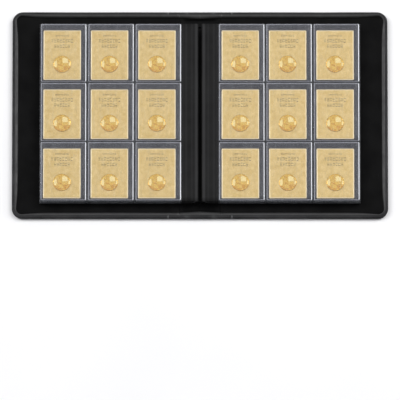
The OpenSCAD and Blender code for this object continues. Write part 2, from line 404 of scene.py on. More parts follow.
# %% Binding tape
tape, tree, shader = new_material("ribbed_tape", Roughness=0.72, Sheen_Weight=0.08, Specular_IOR_Level=0.1)


def yarn(tree, direction, scale, distortion):
    """Soft stripes across one axis, a little uneven."""
    return node(tree, "ShaderNodeTexWave", {"bands_direction": direction}, Vector=place_on_object(tree), Scale=scale,
                Distortion=distortion).outputs[1]


weave = calc(tree, "MULTIPLY", yarn(tree, "Y", 210.0, 0.6), yarn(tree, "X", 160.0, 0.4))
colour = ramp(tree, weave, 0.0, 0.9, (0.004, 0.004, 0.0042), (0.018, 0.018, 0.0185))
tree.links.new(colour, shader.inputs["Base Color"])
tree.links.new(bumped(tree, weave, 0.0002, 0.8), shader.inputs["Normal"])
print("tape:", len(tree.nodes), "nodes")

# %% [markdown]
# The clear film is so thin that it hardly tints what lies under it. What the eye sees is its reflection, which
# grows at grazing angles. A smooth shader with a very low alpha that rises with the Fresnel value behaves in
# this way, and faint scuffs keep it from being perfect.

# %% Clear film
film_clear, tree, shader = new_material("clear_film", IOR=1.5)
scuffs = noise(tree, place_on_object(tree, (1, 0.15, 1)), 260, 4, 0.7)
ripple = noise(tree, place_on_object(tree), 55, 2)
rise = node(tree, "ShaderNodeFresnel", IOR=1.45).outputs[0]
alpha = calc(tree, "ADD", calc(tree, "MULTIPLY", rise, 0.55), span(tree, scuffs, 0.45, 0.8, 0.02, 0.06))
tree.links.new(alpha, shader.inputs["Alpha"])
tree.links.new(ramp(tree, scuffs, 0.3, 0.8, (0.55, 0.58, 0.64), (0.85, 0.88, 0.92)), shader.inputs["Base Color"])
tree.links.new(span(tree, scuffs, 0.3, 0.8, 0.10, 0.24), shader.inputs["Roughness"])
tree.links.new(bumped(tree, ripple, 0.0006, 0.35), shader.inputs["Normal"])
print("film:", len(tree.nodes), "nodes")

# %% [markdown]
# The rigid holder is clear plastic with a cool haze. Its edges are welded, and a whitish highlight is painted
# along them, most of all along the right side. Round the card the slot is clear of haze, and a dark brown line is
# painted there as the card edge's shadow. The piece carries its own flat coordinates in metres, and bands of them
# choose between painted highlight, haze and painted shadow.

# %% Rigid holder
card_low, card_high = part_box("right_card_a")
hold_low, hold_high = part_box("right_holder_a")
HOLD_W, HOLD_H = hold_high.x - hold_low.x, hold_high.y - hold_low.y
CARD = [card_low.x - hold_low.x, card_high.x - hold_low.x, card_low.y - hold_low.y, card_high.y - hold_low.y]
CARD_W, CARD_H = CARD[1] - CARD[0], CARD[3] - CARD[2]
RING_W = 1.4 * MM


def band(tree, value, low, high, soft):
    """1 where value lies between low and high, with soft ends."""
    return calc(tree, "MULTIPLY", span(tree, value, low - soft, low + soft),
                span(tree, value, high - soft, high + soft, 1.0, 0.0))


def flat_coordinates(tree):
    """The piece's own flat coordinates, as two numbers."""
    parts = node(tree, "ShaderNodeSeparateXYZ", Vector=node(tree, "ShaderNodeUVMap", {"uv_map": "flat"}).outputs[0])
    return parts.outputs[0], parts.outputs[1]


holder_clear, tree, shader = new_material("rigid_clear", IOR=1.49, Coat_Weight=0.6, Coat_Roughness=0.06)
across, along = flat_coordinates(tree)
inside = calc(tree, "MULTIPLY", band(tree, across, CARD[0] - RING_W, CARD[1] + RING_W, 0.0003),
              band(tree, along, CARD[2] - RING_W, CARD[3] + RING_W, 0.0003))
under_card = calc(tree, "MULTIPLY", band(tree, across, CARD[0], CARD[1], 0.0002),
                  band(tree, along, CARD[2], CARD[3], 0.0002))
# Painted shadow: a dark brown band round the card stands for the shadow of the card's edge.
slot_shadow = calc(tree, "SUBTRACT", inside, under_card)
# Painted highlight: whitish bands along the welded edges, strongest on the right, stand for their bright reflections.
right_highlight = band(tree, across, HOLD_W - 0.0015, HOLD_W - 0.0002, 0.0002)
left_highlight = span(tree, across, 0.0010, 0.0016, 0.20, 0.0)
top_highlight = span(tree, along, HOLD_H - 0.0018, HOLD_H - 0.0012, 0.0, 0.30)
low_highlight = span(tree, along, 0.0010, 0.0016, 0.25, 0.0)
weld = calc(tree, "MAXIMUM", calc(tree, "MAXIMUM", left_highlight, calc(tree, "MULTIPLY", right_highlight, 0.9)),
            calc(tree, "MAXIMUM", top_highlight, low_highlight))
streaks = noise(tree, place_on_object(tree, (1, 0.2, 1)), 90, 3)
haze = calc(tree, "MULTIPLY", span(tree, streaks, 0.3, 0.7, 0.032, 0.050),
            calc(tree, "SUBTRACT", 1.0, calc(tree, "MULTIPLY", inside, 0.72)))
# The painted highlight and the painted shadow raise the alpha here, and their colours are mixed in below.
alpha = calc(tree, "MAXIMUM", calc(tree, "MAXIMUM", haze, weld), calc(tree, "MULTIPLY", slot_shadow, 0.62))
tree.links.new(alpha, shader.inputs["Alpha"])
colour = mixed(tree, weld, (0.60, 0.60, 0.70), (0.90, 0.92, 0.95))
colour = mixed(tree, slot_shadow, colour, (0.030, 0.017, 0.009))
tree.links.new(colour, shader.inputs["Base Color"])
tree.links.new(span(tree, streaks, 0.3, 0.7, 0.18, 0.30), shader.inputs["Roughness"])
tree.links.new(bumped(tree, streaks, 0.0003, 0.3), shader.inputs["Normal"])
print("holder:", len(tree.nodes), "nodes, card in it from", [round(v, 4) for v in CARD])

# %% [markdown]
# The cards are gold foil on a stiff core. The foil is pale, finely brushed along the card and a little uneven,
# and a polished line runs round its edge, painted cream as its highlight. The coin is darker, its lower part is
# painted darker and more orange as shade, and its few polished facets among frosted ones are painted paler as glints.
# Both use a metallic shader, so their colour is that of their reflection. The mesh stores where a raised mark meets
# the card, as "edge", where the gold is painted darker as shade, and how polished a facet is.

# %% Gold card and gold coin
card_gold, tree, shader = new_material("gold_card", Metallic=1.0)
across, along = flat_coordinates(tree)
brushed = noise(tree, place_on_object(tree, (1, 0.06, 1)), 2600, 2)
patches = noise(tree, place_on_object(tree, (1.2, 1, 1)), 130, 4, 0.6)
colour = ramp(tree, patches, 0.32, 0.70, (0.66, 0.465, 0.165), (0.79, 0.60, 0.27))
LINE_W = 1.7 * MM
field = calc(tree, "MULTIPLY", band(tree, across, LINE_W, CARD_W - LINE_W, 0.0004),
             band(tree, along, LINE_W, CARD_H - LINE_W, 0.0004))
# Painted highlight: the polished line round the card is painted cream.
colour = mixed(tree, field, (0.92, 0.78, 0.50), colour)
# Painted shade: the gold is darkened where a raised mark meets the card.
colour = mixed(tree, span(tree, attribute(tree, "edge"), 0.0, 0.6, 0.0, 0.9), colour, (0.22, 0.18, 0.085))
tree.links.new(colour, shader.inputs["Base Color"])
dull = calc(tree, "ADD", span(tree, brushed, 0.3, 0.7, 0.30, 0.42), calc(tree, "MULTIPLY", field, 0.06))
tree.links.new(dull, shader.inputs["Roughness"])
tree.links.new(bumped(tree, brushed, 0.00004, 0.6, bumped(tree, patches, 0.0004, 0.35)), shader.inputs["Normal"])

coin_gold, tree, shader = new_material("gold_coin", Metallic=1.0)
across, along = flat_coordinates(tree)
spots = noise(tree, place_on_object(tree), 340, 3)
clear_of_shade = span(tree, along, -0.013, 0.006)
# The stored polish of a facet lowers its roughness and paints a glint into its colour.
polish_and_glint = attribute(tree, "polish_and_glint")
# Painted shade: the coin's lower part is mixed to a darker, more orange gold.
colour = mixed(tree, clear_of_shade, (0.60, 0.27, 0.045), (0.70, 0.42, 0.075))
colour = mixed(tree, span(tree, polish_and_glint, 0.0, 0.45), colour, (0.84, 0.56, 0.13))
colour = mixed(tree, span(tree, spots, 0.4, 0.8, 0.0, 0.3), colour, (0.56, 0.33, 0.06))
# Painted glint: the polished facets are mixed to a pale cream gold.
colour = mixed(tree, span(tree, polish_and_glint, 0.6, 0.9), colour, (1.0, 0.80, 0.36))
tree.links.new(colour, shader.inputs["Base Color"])
dull = calc(tree, "SUBTRACT", span(tree, spots, 0.3, 0.7, 0.22, 0.32), calc(tree, "MULTIPLY", polish_and_glint, 0.1))
tree.links.new(dull, shader.inputs["Roughness"])
tree.links.new(bumped(tree, spots, 0.0002, 0.3), shader.inputs["Normal"])
print("card and coin gold are ready")

# %% [markdown]
# Foam and board are the hidden layers of the covers. The foam has open cells, and the board is
# pressed from grey-brown fibres.

# %% Foam and board
foam_skin, tree, shader = new_material("grey_foam", Roughness=0.95)
open_cells = node(tree, "ShaderNodeTexVoronoi", Vector=place_on_object(tree), Scale=900.0).outputs["Distance"]
tree.links.new(ramp(tree, open_cells, 0.1, 0.7, (0.22, 0.22, 0.235), (0.36, 0.36, 0.38)), shader.inputs["Base Color"])
tree.links.new(bumped(tree, open_cells, 0.0004, 0.8), shader.inputs["Normal"])

board_skin, tree, shader = new_material("pressed_board", Roughness=0.85)
fibres = noise(tree, place_on_object(tree, (1, 0.25, 1)), 700, 5, 0.7)
tree.links.new(ramp(tree, fibres, 0.3, 0.7, (0.25, 0.19, 0.12), (0.40, 0.31, 0.21)), shader.inputs["Base Color"])
tree.links.new(bumped(tree, fibres, 0.0002, 0.6), shader.inputs["Normal"])
print("foam and board are ready")

# %% [markdown]
# The floor is a plain pale sheet under the album, with the faintest unevenness.

# %% Floor
floor_skin, tree, shader = new_material("pale_floor", Roughness=0.9)
colour = ramp(tree, noise(tree, place_on_object(tree), 3, 2), 0.3, 0.7, (0.90, 0.90, 0.90), (0.93, 0.93, 0.93))
tree.links.new(colour, shader.inputs["Base Color"])
u, v = np.meshgrid(np.linspace(-6, 6, 13), np.linspace(-6, 6, 13), indexing="ij")
floor = mesh_piece("floor", [(np.stack([u, v, 0 * u - 0.3 * MM], -1), grid_faces(*u.shape))], outward=(0, 0, 1))
floor.data.materials.append(floor_skin)
floor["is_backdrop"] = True
print("floor is 12 m wide")

# %% [markdown]
# Each cover is padded. Its suede leather lies flat on the table, has a pressed line a little way in from
# the edge, turns up round the edge and ends on the crest of the rim. One section is drawn in distance from the
# edge and height, rounded by cutting its corners, and carried along the tail, round the two corners and back
# along the head. A slow wobble of a few tenths of a millimetre keeps the long edges from looking machined.

# %% Sections and the cover's outline


def rounded_line(points, times=2, closed=False):
    """Cuts the corners of a line: every stretch is replaced by its points at one and three quarters."""
    line = np.array(points, float)
    for _ in range(times):
        ends = np.roll(line, -1, 0) if closed else line[1:]
        starts = line if closed else line[:-1]
        cut = np.stack([0.75 * starts + 0.25 * ends, 0.25 * starts + 0.75 * ends], 1).reshape(-1, 2)
        line = cut if closed else np.concatenate([line[:1], cut, line[-1:]])
    return line


def edge_path(xs, arc_steps=14, fore_steps=46):
    """Outline of the back cover in plan: along the tail at the positions xs, round a quarter circle, along the
    fore edge, round another one and back along the head. Gives points, inward directions and a number that
    is 1 in the middle of each corner and fades away from it."""
    tail = np.stack([xs, np.full(len(xs), -COVER_Y)], -1)
    centre = np.array([COVER_X - CORNER, CORNER - COVER_Y])
    turn = np.linspace(-math.pi / 2, 0, arc_steps)[1:]
    arc_dir = np.stack([np.cos(turn), np.sin(turn)], -1)
    arc = centre + CORNER * arc_dir
    fore_y = np.linspace(arc[-1, 1], -arc[-1, 1], fore_steps)[1:-1]
    fore = np.stack([np.full(len(fore_y), COVER_X), fore_y], -1)
    half = np.concatenate([tail, arc])
    half_in = np.concatenate([np.tile([0.0, 1.0], (len(tail), 1)), -arc_dir])
    points = np.concatenate([half, fore, half[::-1] * [1, -1]])
    inward = np.concatenate([half_in, np.tile([-1.0, 0.0], (len(fore), 1)), half_in[::-1] * [1, -1]])
    away = np.hypot(points[:, 0] - COVER_X, np.abs(points[:, 1]) - COVER_Y)
    return points, inward, np.exp(-(away / 0.034) ** 2)


def wobble(points):
    """A slow wave of up to 0.3 mm, a product of waves along x and y and a smaller one along both, the same
    wherever two pieces meet."""
    x, y = points[..., 0], points[..., 1]
    return 0.00018 * np.sin(np.abs(x) / 0.021 + 1.3) * np.cos(y / 0.034) + 0.00012 * np.sin(y / 0.017 + x / 0.029)


SKIN_SECTION = rounded_line([(4.9, 7.2), (4.2, 7.75), (3.0, 7.8), (1.7, 7.2), (0.6, 6.0), (0.0, 4.4), (0.0, 2.0),
                             (0.5, 0.5), (2.0, 0.0), (5.2, 0.0), (6.2, 0.05), (6.9, 0.55), (7.6, 0.05), (8.8, 0.0),
                             (13.0, 0.0), (18.0, 0.0)]) * MM
ROLL_SECTION = rounded_line([(4.3, 5.2), (4.3, 7.2), (5.2, 8.0), (7.4, 8.0), (9.2, 7.2), (10.4, 5.8), (10.9, 4.3),
                             (9.5, 3.9), (5.2, 4.0)], closed=True) * MM
LINING_SECTION = rounded_line([(9.0, 6.6), (10.0, 6.0), (11.0, 5.3), (12.6, 4.95), (15.0, 4.8), (18.0, 4.8)]) * MM
print("section points:", len(SKIN_SECTION), len(ROLL_SECTION), len(LINING_SECTION))

# %% [markdown]
# A swept section and a flat middle make each cover sheet. The grid of the middle shares its border points with
# the sweep, so the two are welded into one sheet. The front cover is the same arrays with x reversed, which also
# turns its faces round, so mesh_piece looks at the mean direction of the faces and turns them back.

# %% Cover sheets


# The second height is that of the rim's crest, where a paler colour is painted as highlight.
CREST, HIGHLIGHT_Z = 4.3 * MM, 7.4 * MM


def bell(value, middle, width):
    """A bell curve: e to the power of minus the square of (value - middle) / width."""
    return np.exp(-((value - middle) / width) ** 2)


def swept(points, inward, section, reach=None):
    """Carries a section along an outline: point = outline + inward * distance, with the section's height as z.
    reach scales the distances beyond the crest of the rim, one number for each outline point."""
    distance = np.tile(section[:, 0], (len(points), 1))
    if reach is not None:
        distance = np.where(distance > CREST, CREST + (distance - CREST) * reach[:, None], distance)
    xy = points[:, None] + inward[:, None] * distance[..., None]
    z = np.tile(section[:, 1], (len(points), 1))
    return np.concatenate([xy, z[..., None]], -1)


def middle_grid(xs, ys, height):
    """Flat grid inside the sweep, with its height as a function of x."""
    x, y = np.meshgrid(xs, ys, indexing="ij")
    return np.stack([x, y, height(x)], -1)


def groove(x):
    """Depth of the groove between the spine's flap and the cover, a bell with a flat top, less a smaller bell for
    the flap's raised edge before it."""
    middle = (FLAP_X + skin_low.x) / 2
    dip = 1.1 * MM * np.exp(-((x - middle) / 0.00085) ** 4)
    return dip - 0.2 * MM * bell(x, middle - 0.0026, 0.0010)


START = FLAP_X - 0.0040
tail_x = np.unique(np.concatenate([np.arange(START, START + 0.009, 0.0003),
                                   np.linspace(START + 0.009, COVER_X - CORNER, 34)]))
points, inward, _ = edge_path(tail_x)
skin_grid = swept(points, inward, SKIN_SECTION)
skin_grid[..., 2] += wobble(skin_grid) * np.clip(skin_grid[..., 2] / 0.004, 0, 1)
skin_grid[..., 2] += groove(skin_grid[..., 0]) * (np.abs(skin_grid[..., 1]) < COVER_Y - 0.0015)
mid_y = np.concatenate([[CORNER - COVER_Y], points[(points[:, 0] > COVER_X - 1e-6), 1][1:-1], [COVER_Y - CORNER]])
mid_y = np.unique(np.round(mid_y, 7))
skin_middle = middle_grid(tail_x, mid_y, groove)


def both_sides(make):
    """Calls make for the back cover and the front cover, with +1 and -1 as the direction of x."""
    return [make(name, side) for name, side in COVERS]


def mirrored(grid, side):
    """The same points with x reversed for the front cover."""
    return grid * [side, 1, 1]


def welded_sheet(name, side, grids, outward):
    """Grids of the back cover, welded into one sheet for the cover on this side."""
    return mesh_piece(name, [(mirrored(grid, side), grid_faces(*grid.shape[:2])) for grid in grids],
                      weld=2e-5, outward=outward)


def cover_leather(name, side):
    """The suede sheet, with the paler colour painted as highlight at the flap's edge and along the rim's crest stored
    as an attribute.
    """
    obj = welded_sheet(name + "_cover_leather", side, (skin_grid, skin_middle), (0, 0, -1))
    set_attribute(obj, "wear_and_highlight", lambda p: np.clip(
        bell(np.abs(p[:, 0]), skin_low.x + 0.0012, 0.0012) + 0.10 * bell(p[:, 2], HIGHLIGHT_Z, 0.0006), 0, 1))
    thicken(obj, LEATHER_T)
    obj.data.materials.append(suede)
    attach(obj, name + "_cover")
    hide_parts(name + "_cover_skin")
    return obj


leathers = both_sides(cover_leather)
print("cover leather:", [len(o.data.polygons) for o in leathers], "faces")

# %% [markdown]
# The rim is a soft roll of foam in smooth leatherette, sewn along the inside of the edge. It could be a curve with
# a round bevel, but its section is flatter inside than outside. So it is a closed tube carried along the same
# outline as the leather. It is narrower near the corners, where the lining is pulled up over it.

# %% Rim rolls
ROLL_START = FOLD_X + BEND


def tube_faces(rows, columns):
    """Faces of a tube, with its two ends closed by strips of four-cornered faces."""
    ends = []
    for first in (0, (rows - 1) * columns):
        i = np.arange(columns // 2 - 1)
        ends.append(first + np.stack([i, i + 1, columns - 2 - i, columns - 1 - i], -1))
    return np.concatenate([grid_faces(rows, columns, True)] + ends)


roll_x = np.linspace(ROLL_START, COVER_X - CORNER, 44)
points, inward, cornering = edge_path(roll_x)
roll_grid = swept(points, inward, ROLL_SECTION, reach=1 - 0.60 * cornering)
roll_grid[..., 2] += wobble(roll_grid)


def rim_roll(name, side):
    """The roll of one cover, from fold to fold round its three free edges."""
    tube = (mirrored(roll_grid, side), tube_faces(*roll_grid.shape[:2]))
    obj = mesh_piece(name + "_rim_roll", [tube], closed=True)
    obj.data.materials.append(roll_skin)
    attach(obj, name + "_cover")
    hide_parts(name + "_cover_rim", name + "_rim_core")
    return obj


rolls = both_sides(rim_roll)
print("rim rolls:", [len(o.data.polygons) for o in rolls], "faces")

# %% [markdown]
# The black lining lies on the board, rises in a soft cove to the roll and drops to the lower lining of
# the spine over the fold.

# %% Cover linings


def eased(t):
    """A smooth rise from 0 to 1 while t goes from 0 to 1: t squared times (3 - 2 t)."""
    t = np.clip(t, 0, 1)
    return t * t * (3 - 2 * t)


def lining_height(x):
    """Height of the lining: the cover's, going smoothly down to the spine's between the two bodies."""
    return SPINE_Z + (LINING_Z - SPINE_Z) * eased((x - FOLD_X) / BEND)


lining_grid = swept(points, inward, LINING_SECTION)
pull = np.clip((0.0125 - LINING_SECTION[:, 0]) / 0.0035, 0, 1)
lining_grid[..., :2] -= inward[:, None] * (3.8 * MM * cornering[:, None] * pull)[..., None]
lining_middle = middle_grid(roll_x, mid_y, lambda x: 0 * x + LINING_Z)


def cover_lining(name, side):
    """The black lining of one cover. Near the corners its edge is pulled up over the roll."""
    obj = welded_sheet(name + "_lining_sheet", side, (lining_grid, lining_middle), (0, 0, 1))
    thicken(obj, LINING_T)
    obj.data.materials.append(lining_skin)
    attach(obj, name + "_cover")
    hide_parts(name + "_cover_lining")
    return obj


linings = both_sides(cover_lining)
print("linings:", [len(o.data.polygons) for o in linings], "faces")

# %% [markdown]
# Foam and board lie between leather and lining. They end short of the fold, where a real album has only soft
# layers. A slab is drawn as a rounded outline that goes in and up.

# %% Slabs


def slab(x0, x1, y0, y1, radius, section, arc_steps=5):
    """Rounded rectangle drawn once for each (inset, height) of the section: up to the corner radius a corner
    shrinks to its centre, and beyond it the centre moves inward along the diagonal. The first and last
    outlines are filled by a grid of one face."""
    signs = np.array([(1, 1), (-1, 1), (-1, -1), (1, -1)], float)
    corners = np.array([(x1, y1), (x0, y1), (x0, y0), (x1, y0)], float)
    turn = np.linspace(0, math.pi / 2, arc_steps)
    start = np.array([0, 1, 2, 3]) * math.pi / 2
    angle = (start[:, None] + turn[None]).ravel()
    sign, corner = np.repeat(signs, arc_steps, 0), np.repeat(corners, arc_steps, 0)
    direction = np.stack([np.cos(angle), np.sin(angle)], -1)
    inset = np.array(section, float)[:, :1, None]
    xy = corner - sign * np.maximum(inset, radius) + direction * np.maximum(radius - inset, 0)
    z = np.broadcast_to(np.array(section, float)[:, 1][:, None, None], (len(section), len(angle), 1))
    grid = np.concatenate([xy, z], -1)
    count = len(angle)
    first = np.array([[0, arc_steps, 2 * arc_steps, 3 * arc_steps]])
    return grid, np.concatenate([grid_faces(len(section), count, True), first, first + (len(section) - 1) * count])


def layer(name, side, kind, skin, slot_name, z0, z1):
    """A slab between two heights, with its edges a little rounded, that ends where the rim's roll begins."""
    low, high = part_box(f"{name}_cover_{kind}")
    round_in, middle, gap = 0.4 * MM, 20 * MM, 0.2 * MM
    section = [(middle, z0), (round_in, z0), (0, z0 + round_in / 2),
               (0, z1 - round_in / 2), (round_in, z1), (middle, z1)]
    grid, faces = slab(ROLL_START, COVER_X - 10.2 * MM, low.y + gap, high.y - gap, 8 * MM, section)
    obj = mesh_piece(f"{name}_{kind}_layer", [(mirrored(grid, side), faces)], weld=1e-6, closed=True, smooth=False)
    obj.data.materials.append(skin)
    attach(obj, name + "_cover")
    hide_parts(f"{name}_cover_{kind}")
    return obj


foam_low, foam_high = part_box("back_cover_foam")
BOARD_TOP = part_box("back_cover_board")[1].z
foams = both_sides(lambda name, side: layer(name, side, "foam", foam_skin, "foam", foam_low.z, foam_high.z))
boards = both_sides(lambda name, side: layer(
    name, side, "board", board_skin, "board", BOARD_TOP - 1.9 * MM, BOARD_TOP - 0.2 * MM))
print("layers:", [obj.name for obj in foams + boards])

# %% [markdown]
# Over the spine, leather, roll and lining are each one strip, which reaches from the middle of the spine to a
# cover. Its section runs from the tail to the head, so the rim goes on over the spine, where it swells a little
# because the soft spine lets it open up. The leather strip laps 0.3 mm over the cover's own leather, so that no gap
# shows between them.

# %% Spine strips


def tail_to_head(section):
    """A section at the tail followed by its mirror image at the head, as (y, z)."""
    tail = np.stack([section[:, 0] - COVER_Y, section[:, 1]], -1)
    return np.concatenate([tail, tail[::-1] * [-1, 1]])


def swell(x):
    """Extra width of the rim over the spine: a lens that is widest in the middle."""
    return 1.6 * MM * bell(x, 0, 0.020)


def crease(x):
    """The leather lifts a little along the fold, where it has been bent."""
    return 0.7 * MM * bell(np.abs(x), FOLD_X, 0.0035)


def spine_strip(name, side, kind, xs, line, heights, skin, replaced, thickness=0.0):
    """Carries a line of (y, z) along x and blends it from the cover to the spine. With a thickness the strip is a
    sheet, and without one its line is closed and makes a tube."""
    x = np.repeat(xs[:, None], len(line), 1)
    grid = heights(np.stack([x, np.broadcast_to(line[:, 0], x.shape), np.broadcast_to(line[:, 1], x.shape)], -1))
    faces = (grid_faces if thickness else tube_faces)(*x.shape)
    obj = mesh_piece(f"{name}_spine_{kind}", [(mirrored(grid, side), faces)], closed=not thickness,
                     outward=(0, 0, -1 if kind == "leather" else 1) if thickness else None)
    if kind == "leather":
        # Painted highlight on the rim's crest and at the flap's edge, and leather rubbed paler along the fold.
        set_attribute(obj, "wear_and_highlight", lambda p: np.clip(
            0.10 * bell(p[:, 2], HIGHLIGHT_Z, 0.0006) + 0.25 * bell(np.abs(p[:, 0]), FOLD_X, 0.004)
            + bell(np.abs(p[:, 0]), FLAP_X - 0.0012, 0.0009), 0, 1))
    obj.data.materials.append(skin)
    if thickness:
        thicken(obj, thickness)
    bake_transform(obj)
    if replaced:
        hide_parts(*replaced)
    return obj


def leather_heights(grid):
    """Adds the wobble above the table, and the crease and the groove on the underside."""
    x, y = grid[..., 0], grid[..., 1]
    high = np.clip(grid[..., 2] / 0.004, 0, 1)
    low = np.where(np.abs(y) < COVER_Y - 0.0015, 1, 0) * (1 - high)
    grid[..., 2] += wobble(grid) * high + low * (crease(x) + groove(x))
    return grid


def roll_heights(grid):
    """Moves the inner side of the roll inward by the swell, and adds the wobble."""
    distance = COVER_Y - np.abs(grid[..., 1])
    more = swell(grid[..., 0]) * np.clip((distance - CREST) / 0.006, 0, 1)
    grid[..., 1] -= np.sign(grid[..., 1]) * more
    grid[..., 2] += wobble(grid)
    return grid


def lining_heights(grid):
    """Moves the edge of the lining with the roll, and lowers the rest of it to the spine's lining."""
    distance = COVER_Y - np.abs(grid[..., 1])
    more = swell(grid[..., 0]) * np.clip((0.0150 - distance) / 0.004, 0, 1)
    drop = LINING_Z - lining_height(grid[..., 0])
    grid[..., 1] -= np.sign(grid[..., 1]) * more
    grid[..., 2] -= drop * np.clip((distance - 0.0095) / 0.006, 0, 1)
    return grid


LAP = 0.3 * MM
leather_x = np.append(np.linspace(0, START, 46), START + LAP)
strip_x = np.linspace(0, ROLL_START, 40)
for name, side in COVERS:
    spine_strip(name, side, "leather", leather_x, tail_to_head(SKIN_SECTION), leather_heights, suede,
                [name + "_spine_flap"] + (["spine_skin"] if side > 0 else []), LEATHER_T)
    spine_strip(name, side, "lining", strip_x, tail_to_head(LINING_SECTION), lining_heights, lining_skin,
                ["spine_lining"] if side > 0 else [], LINING_T)
    for end, direction in (("tail", 1), ("head", -1)):
        line = (ROLL_SECTION - [COVER_Y, 0]) * [direction, 1]
        spine_strip(name, side, "roll_" + end, strip_x, line, roll_heights, roll_skin,
                              [])

# %% [markdown]
# Inside the spine, a strip of ribbed tape stands up in a low web at each side, under the beads of the two folded
# gussets. A gusset is tape folded round a cord: a round bead below, a neck, and a head that holds the margins of
# the leaves. Both are a closed line of (x, z) carried along the spine, with fine ribs along their length. The
# ends of a gusset are drawn in a little, and those of the strip are cut straight.

# %% Binding and gussets


RIB_PITCH, END_L = 1.6 * MM, 1.2 * MM


def along_spine(name, outline, y_end, rib, rounds, draw):
    """Carries a closed outline along y. The ends are drawn in towards the outline's middle by the share draw, and
    a wave of the given height along the outline makes the ribs."""
    line = rounded_line(outline, rounds, True)
    step = np.roll(line, -1, 0) - np.roll(line, 1, 0)
    out = np.stack([step[:, 1], -step[:, 0]], -1) / np.maximum(np.hypot(*step.T), 1e-9)[:, None]
    length = np.cumsum(np.hypot(*(line - np.roll(line, 1, 0)).T))
    line = line + out * (rib * np.cos(2 * math.pi * length / RIB_PITCH))[:, None]
    middle = line.mean(0)
    ys = np.concatenate([[-y_end, -y_end + 0.0002, -y_end + 0.0008], np.linspace(-y_end + 0.002, y_end - 0.002, 60),
                         [y_end - 0.0008, y_end - 0.0002, y_end]])
    shrink = 1 - draw * np.clip(1 - (y_end - np.abs(ys)) / END_L, 0, 1) ** 2
    xz = middle + (line - middle)[None] * shrink[:, None, None]
    grid = np.stack([xz[..., 0], np.repeat(ys[:, None], len(line), 1), xz[..., 1]], -1)
    obj = mesh_piece(name, [(grid, tube_faces(*grid.shape[:2]))], closed=True)
    obj.data.materials.append(tape)
    return obj


def filled_in(line):
    """Adds points along each stretch of a closed line, 0.8 mm apart or at most nine to a stretch."""
    points = []
    for a, b in zip(line, line[1:] + line[:1]):
        share = np.arange(0, 1, max(0.8 * MM / math.dist(a, b), 0.12))[:, None]
        points.append((1 - share) * np.array(a) + share * np.array(b))
    return np.concatenate(points)


bind_low, bind_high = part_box("page_binding_strip")
bead_x, _, bead_z = JOINTS["right_pages_lean"]["pos_m"]
half, web = bind_high.x, 1.0 * MM
strip_z, top_z = bind_low.z + web, bind_high.z
strip_line = [(-half, bind_low.z), (half, bind_low.z), (half, top_z), (half - web, top_z), (half - web, strip_z),
              (0.004, strip_z), (0.0012, strip_z - 0.0003), (-0.0012, strip_z - 0.0003), (-0.004, strip_z),
              (web - half, strip_z), (web - half, top_z), (-half, top_z)]
binding = along_spine("binding_tape", filled_in(strip_line), bind_high.y, 0.06 * MM, 1, 0.0)
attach(binding, "spine")
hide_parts("page_binding_strip")

GUSSET = [(0, -3.6), (1.5, -3.3), (2.9, -2.2), (3.6, -0.7), (3.5, 0.9), (2.6, 2.4), (1.2, 3.2), (0.1, 3.6),
          (-0.7, 4.3), (-1.0, 5.6), (-1.3, 6.8), (-2.4, 7.35), (-4.0, 7.2), (-5.6, 6.5), (-6.8, 5.2), (-7.1, 3.8),
          (-6.2, 2.8), (-4.6, 2.7), (-3.2, 2.7), (-2.9, 2.0), (-3.5, 0.7), (-3.6, -0.7), (-2.9, -2.2), (-1.5, -3.3)]
GUSSET_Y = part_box("right_page_gusset")[1].y
for name, side in PAGE_SIDES:
    line = [(side * (bead_x + x * MM), bead_z + z * MM) for x, z in GUSSET]
    gusset = along_spine(name + "_gusset_tape", line, GUSSET_Y, 0.10 * MM * side, 2, 0.12)
    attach(gusset, name + "_pages")
    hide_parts(name + "_page_gusset")
print(f"binding tape {2 * half:.4f} m wide, beads at x = {bead_x:.4f} m")

# %% [markdown]
# Each leaf is a black plastic sheet. Its margin beside the spine has soft ribs, and the upper leaf bends down at
# its inner edge.

# %% Black sheets
film_low, film_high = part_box("right_films_1")
GUTTER = film_low.x


def sheet_height(x, top):
    """Height added to the sheet: ribs in the margin, and on the upper leaf a curve down at the inner edge."""
    curve = 1.3 * MM * np.clip((0.0055 - x) / 0.0030, 0, 1) ** 2
    return 0.4 * MM * np.minimum(rib_relief_and_highlight(x), 1) - curve * top


def rib_relief_and_highlight(x):
    """How high the ribs of the margin stand and how much paler they are painted as highlight, a sum of bells: a
    strong one at the inner edge and three faint.
    """
    return (bell(x, 0.0066, 0.0019) + 0.30 * bell(x, 0.0138, 0.0012)
            + 0.35 * bell(x, 0.0235, 0.0016) + 0.25 * bell(x, 0.0285, 0.0010))


PARENT_OF = {1: "_leaf_2", 2: "_leaf_3", 3: "_pages"}
LONGER = {1: 1.8 * MM, 2: 0, 3: 0}
for name, side in PAGE_SIDES:
    for i in PARENT_OF:
        low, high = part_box(f"right_sheet_{i}")
        margin_x = np.linspace(low.x - LONGER[i], GUTTER, 60)
        xs = np.unique(np.round(np.concatenate([margin_x, np.linspace(GUTTER, high.x, 26)]), 6))
        ys = np.linspace(low.y, high.y, 40)
        x, y = np.meshgrid(xs, ys, indexing="ij")
        bow = 0.12 * MM * np.sin(y / 0.045 + i) * np.clip((0.030 - x) / 0.02, 0, 1)
        z = high.z + sheet_height(x, i == 1) + bow
        grid = np.stack([side * x, y, z], -1)
        sheet = mesh_piece(f"{name}_leaf_sheet_{i}", [(grid, grid_faces(*x.shape))], outward=(0, 0, 1))
        thicken(sheet, high.z - low.z)
        set_attribute(sheet, "rib", lambda p: rib_relief_and_highlight(np.abs(p[:, 0])))
        sheet.data.materials.append(sheet_skin)
        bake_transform(sheet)
        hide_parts(f"{name}_sheet_{i}")
print(f"6 sheets, pockets begin at x = {GUTTER:.4f} m")

